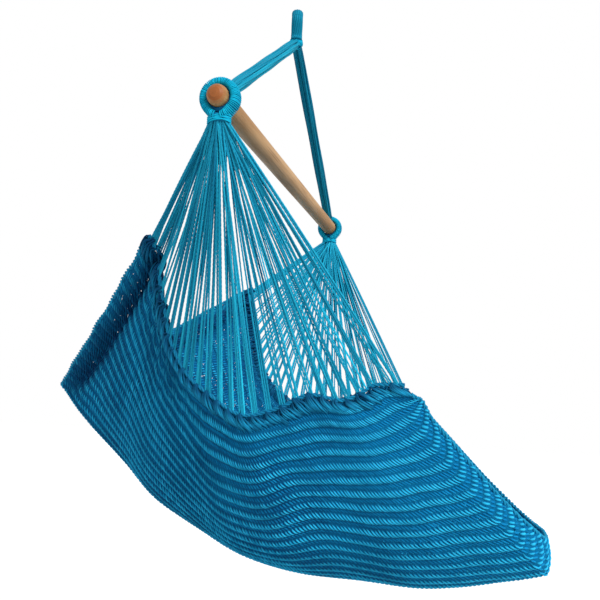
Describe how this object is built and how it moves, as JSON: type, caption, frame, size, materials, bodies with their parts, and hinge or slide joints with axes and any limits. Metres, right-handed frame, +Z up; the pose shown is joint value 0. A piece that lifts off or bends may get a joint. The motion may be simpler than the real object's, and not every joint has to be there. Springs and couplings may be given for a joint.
{
  "type": "hammock chair",
  "caption": "Hanging hammock chair: woven cord seat slung by fans of strings from whipped eyes on a straight wooden spreader bar, under a cord harness with one hanging loop.",
  "frame": {"origin": "the point inside the top of the hanging loop where a hook bears", "axes": "+Z up; X along the spreader bar, -X the sitter's right; the sitter faces -Y"},
  "size_m": [1.02, 1.0551, 1.2171],
  "materials": {
    "wood": "smooth, light clear finish",
    "cord": "twisted cord, bright teal",
    "binding": "tightly wound cord, deeper blue",
    "weave": "open woven cord, blue with light flecks"
  },
  "bodies": {
    "loop": {"hanging_loop": "cord"},
    "throat": {"throat_knot": "binding", "throat_binding": "cord"},
    "harness": {"right_leg_cord_1": "cord", "right_leg_cord_2": "cord", "right_leg_cord_3": "cord", "right_leg_cord_4": "cord", "right_leg_cord_5": "cord", "right_leg_cord_6": "cord", "left_leg_cord_1": "cord", "left_leg_cord_2": "cord", "left_leg_cord_3": "cord", "left_leg_cord_4": "cord", "left_leg_cord_5": "cord", "left_leg_cord_6": "cord", "right_eye_core": "binding", "left_eye_core": "binding", "right_eye_rear_whipping": "cord", "right_eye_front_whipping": "cord", "left_eye_rear_whipping": "cord", "left_eye_front_whipping": "cord"},
    "bar": {"spreader_bar": "wood"},
    "seat": {"right_eye_collar": "binding", "left_eye_collar": "binding", "right_collar_binding": "cord", "left_collar_binding": "cord", "right_fan_1": "cord", "right_fan_2": "cord", "right_fan_3": "cord", "right_fan_4": "cord", "right_fan_5": "cord", "right_fan_6": "cord", "left_fan_1": "cord", "left_fan_2": "cord", "left_fan_3": "cord", "left_fan_4": "cord", "left_fan_5": "cord", "left_fan_6": "cord", "right_header_cord": "binding", "left_header_cord": "binding", "seat_bed": "weave", "rear_edge_cord": "cord", "front_edge_cord": "cord"}
  },
  "joints": [
    {"name": "side_sway", "type": "hinge", "parent": "loop", "child": "throat", "pos_m": [0, 0, -0.057], "axis": [0, 1, 0], "range_deg": [-15, 15]},
    {"name": "fore_aft_swing", "type": "hinge", "parent": "throat", "child": "harness", "pos_m": [0, 0, -0.057], "axis": [1, 0, 0], "range_deg": [-25, 25]},
    {"name": "bar_roll", "type": "hinge", "parent": "harness", "child": "bar", "pos_m": [0, 0, -0.373], "axis": [1, 0, 0], "continuous": true},
    {"name": "seat_swing", "type": "hinge", "parent": "harness", "child": "seat", "pos_m": [0, 0, -0.373], "axis": [1, 0, 0], "range_deg": [-20, 20]}
  ]
}
